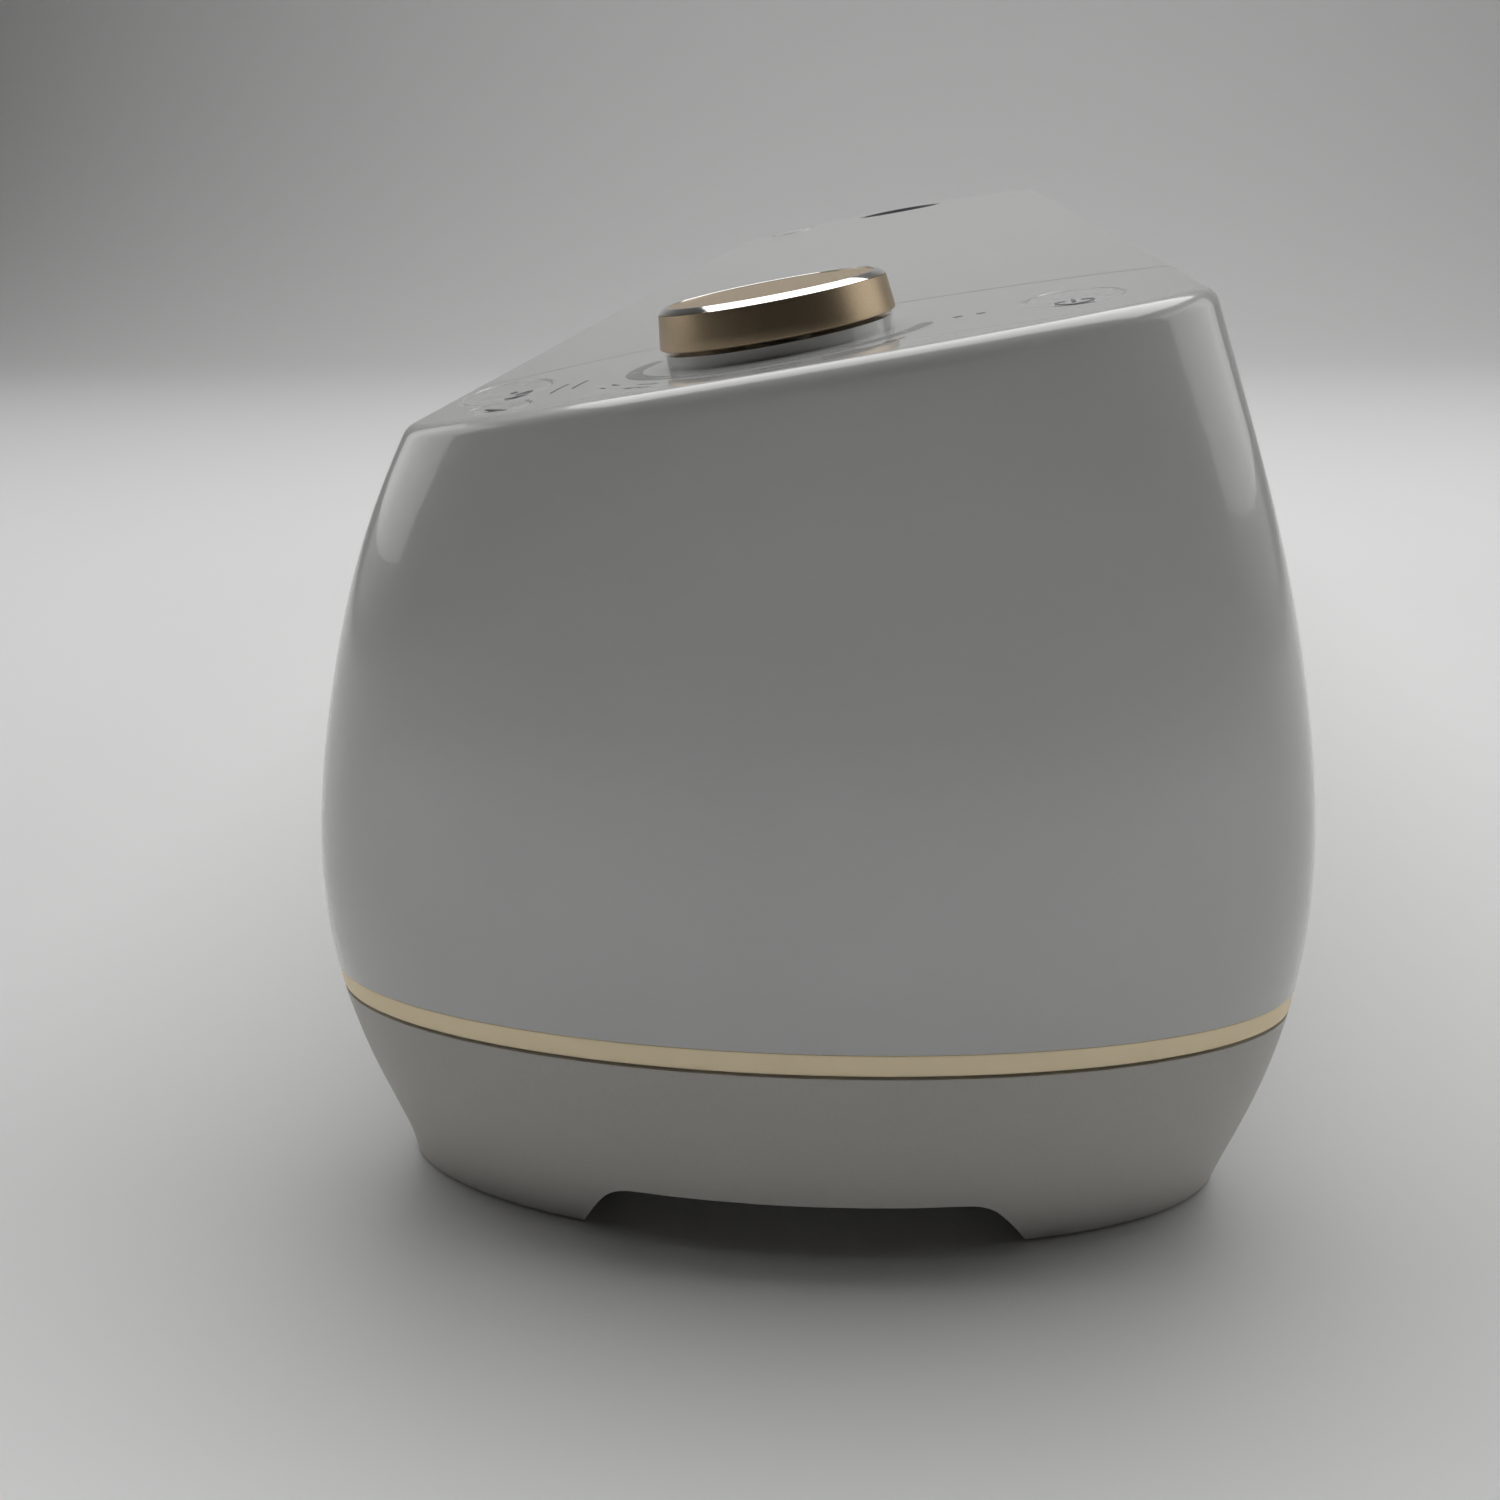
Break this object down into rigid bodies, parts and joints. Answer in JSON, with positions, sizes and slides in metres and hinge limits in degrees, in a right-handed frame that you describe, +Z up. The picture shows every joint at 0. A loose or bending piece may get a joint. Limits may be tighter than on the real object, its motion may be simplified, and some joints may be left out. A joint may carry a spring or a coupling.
{
  "type": "desktop craft cutting machine",
  "caption": "Long white desktop craft cutting machine with lift-up lid, fold-down front door, dial control panel, gold trim line and grey base.",
  "frame": {"origin": "on the table, under the middle of the machine", "axes": "+X to the user's right, towards the end with the dial; -Y to the front, where the door opens; +Z up"},
  "size_m": [0.5606, 0.1771, 0.1679],
  "materials": {
    "white_shell": "gloss",
    "grey_base": "satin",
    "gold_trim": "satin",
    "gold_dial": "satin",
    "bright_ring": "polished",
    "rubber_pad": "matte",
    "steel_bare": "satin",
    "magnet_metal": "polished",
    "bay_grey": "satin",
    "bay_light": "gloss",
    "zinc_plate": "satin",
    "bronze": "satin",
    "roller_grey": "matte",
    "gear_nylon": "satin",
    "gear_brass": "satin",
    "pulley_alu": "satin",
    "motor_can": "satin",
    "board_green": "satin",
    "part_black": "satin",
    "blade_gold": "satin",
    "key_gloss": "gloss"
  },
  "bodies": {
    "base": {"base_tray": "grey_base", "foot_pads": "rubber_pad", "base_screws": "steel_bare", "trim_band": "gold_trim", "right_end_cap": "white_shell", "left_end_cap": "white_shell", "rear_cover": "white_shell", "right_bay_wall": "bay_grey", "left_bay_wall": "bay_grey", "lid_hinge_pins": "steel_bare", "door_hinge_pins": "steel_bare", "catch_magnet": "magnet_metal", "chassis_plate": "zinc_plate", "right_side_frame": "zinc_plate", "left_side_frame": "zinc_plate", "roller_bearings": "bronze", "mat_deck": "bay_grey", "roller_motor": "motor_can", "guide_rail": "steel_bare", "lower_rail": "steel_bare", "drive_belt": "rubber_pad", "idler_bracket": "zinc_plate", "carriage_motor": "motor_can", "main_board": "board_green", "power_inlet": "part_black", "usb_port": "part_black", "control_board": "board_green", "dial_encoder": "part_black", "tool_cup": "bay_grey"},
    "lid_body": {"lid": "white_shell", "lid_strikes": "steel_bare"},
    "door_body": {"front_door": "white_shell", "door_bin": "bay_grey"},
    "bin_cover_body": {"bin_cover": "bay_light"},
    "roller_body": {"drive_roller": "roller_grey", "roller_gear": "gear_nylon"},
    "pinion_body": {"roller_pinion": "gear_brass"},
    "pinch_body": {"pinch_shaft": "steel_bare", "pinch_rollers": "rubber_pad"},
    "drive_pulley_body": {"drive_pulley": "pulley_alu"},
    "idler_pulley_body": {"idler_pulley": "gear_nylon"},
    "carriage_body": {"carriage_frame": "bay_grey", "carriage_cover": "bay_light"},
    "plunger_a_body": {"plunger_a": "bay_grey", "accessory_sleeve": "bay_light"},
    "plunger_b_body": {"plunger_b": "bay_grey", "blade_housing": "blade_gold", "blade": "steel_bare"},
    "clamp_a_body": {"clamp_a": "bay_light"},
    "clamp_b_body": {"clamp_b": "bay_light"},
    "dial_body": {"dial_knob": "gold_dial", "dial_ring": "bright_ring", "dial_shaft": "steel_bare"},
    "power_key_body": {"power_button": "key_gloss"},
    "load_key_body": {"load_button": "key_gloss"},
    "go_key_body": {"go_button": "key_gloss"},
    "open_key_body": {"open_button": "key_gloss"},
    "latch_body": {"latch_slider": "bay_grey", "latch_magnet": "magnet_metal"}
  },
  "joints": [
    {"name": "lid_hinge", "type": "hinge", "parent": "base", "child": "lid_body", "pos_m": [0, 0.06544, 0.1485], "axis": [-1, 0, 0], "range_deg": [0, 78]},
    {"name": "door_hinge", "type": "hinge", "parent": "base", "child": "door_body", "pos_m": [0, -0.08384, 0.0515], "axis": [1, 0, 0], "range_deg": [0, 88]},
    {"name": "bin_cover_hinge", "type": "hinge", "parent": "door_body", "child": "bin_cover_body", "pos_m": [0, -0.0644, 0.0717], "axis": [-1, 0, 0], "range_deg": [0, 75]},
    {"name": "roller_spin", "type": "hinge", "parent": "base", "child": "roller_body", "pos_m": [0, 0.01, 0.0622], "axis": [1, 0, 0], "continuous": true},
    {"name": "pinion_spin", "type": "hinge", "parent": "base", "child": "pinion_body", "pos_m": [0, -0.002, 0.04142], "axis": [1, 0, 0], "continuous": true},
    {"name": "pinch_spin", "type": "hinge", "parent": "base", "child": "pinch_body", "pos_m": [0, 0.01, 0.076], "axis": [1, 0, 0], "continuous": true},
    {"name": "carriage_slide", "type": "slide", "parent": "base", "child": "carriage_body", "axis": [1, 0, 0], "range_m": [-0.33, 0]},
    {"name": "drive_pulley_spin", "type": "hinge", "parent": "base", "child": "drive_pulley_body", "pos_m": [0.24, 0.0415, 0.116], "axis": [0, 1, 0], "continuous": true},
    {"name": "idler_pulley_spin", "type": "hinge", "parent": "base", "child": "idler_pulley_body", "pos_m": [-0.24, 0.0415, 0.116], "axis": [0, 1, 0], "continuous": true},
    {"name": "plunger_a_slide", "type": "slide", "parent": "carriage_body", "child": "plunger_a_body", "axis": [0, 0, 1], "range_m": [-0.006, 0], "stiffness_N_per_m": 150, "springref_m": 0.006},
    {"name": "plunger_b_slide", "type": "slide", "parent": "carriage_body", "child": "plunger_b_body", "axis": [0, 0, 1], "range_m": [-0.006, 0], "stiffness_N_per_m": 150, "springref_m": 0.006},
    {"name": "clamp_a_hinge", "type": "hinge", "parent": "plunger_a_body", "child": "clamp_a_body", "pos_m": [0.15, -0.0245, 0.1025], "axis": [1, 0, 0], "range_deg": [0, 60]},
    {"name": "clamp_b_hinge", "type": "hinge", "parent": "plunger_b_body", "child": "clamp_b_body", "pos_m": [0.18, -0.0245, 0.1025], "axis": [1, 0, 0], "range_deg": [0, 60]},
    {"name": "dial_spin", "type": "hinge", "parent": "base", "child": "dial_body", "pos_m": [0.2415, -0.00375, 0.15599], "axis": [0, -0.1614, 0.9869], "continuous": true},
    {"name": "power_press", "type": "slide", "parent": "base", "child": "power_key_body", "axis": [0, 0.1247, -0.9922], "range_m": [0, 0.0008], "stiffness_N_per_m": 900, "springref_m": -0.001},
    {"name": "load_press", "type": "slide", "parent": "base", "child": "load_key_body", "axis": [0, 0.1992, -0.98], "range_m": [0, 0.0008], "stiffness_N_per_m": 900, "springref_m": -0.001},
    {"name": "go_press", "type": "slide", "parent": "base", "child": "go_key_body", "axis": [0, 0.1955, -0.9807], "range_m": [0, 0.0008], "stiffness_N_per_m": 900, "springref_m": -0.001},
    {"name": "open_press", "type": "slide", "parent": "base", "child": "open_key_body", "axis": [0, 0.1905, -0.9817], "range_m": [0, 0.003], "stiffness_N_per_m": 600, "springref_m": -0.001},
    {"name": "latch_slide", "type": "slide", "parent": "base", "child": "latch_body", "axis": [-1, 0, 0], "range_m": [0, 0.003], "stiffness_N_per_m": 200, "springref_m": -0.001}
  ],
  "couplings": [
    {"joint": "pinion_spin", "follows": "roller_spin", "ratio": -3},
    {"joint": "pinch_spin", "follows": "roller_spin", "ratio": -1.6},
    {"joint": "drive_pulley_spin", "follows": "carriage_slide", "rad_per_m": -112.99},
    {"joint": "idler_pulley_spin", "follows": "carriage_slide", "rad_per_m": -112.99},
    {"joint": "latch_slide", "follows": "open_press", "ratio": 1}
  ]
}
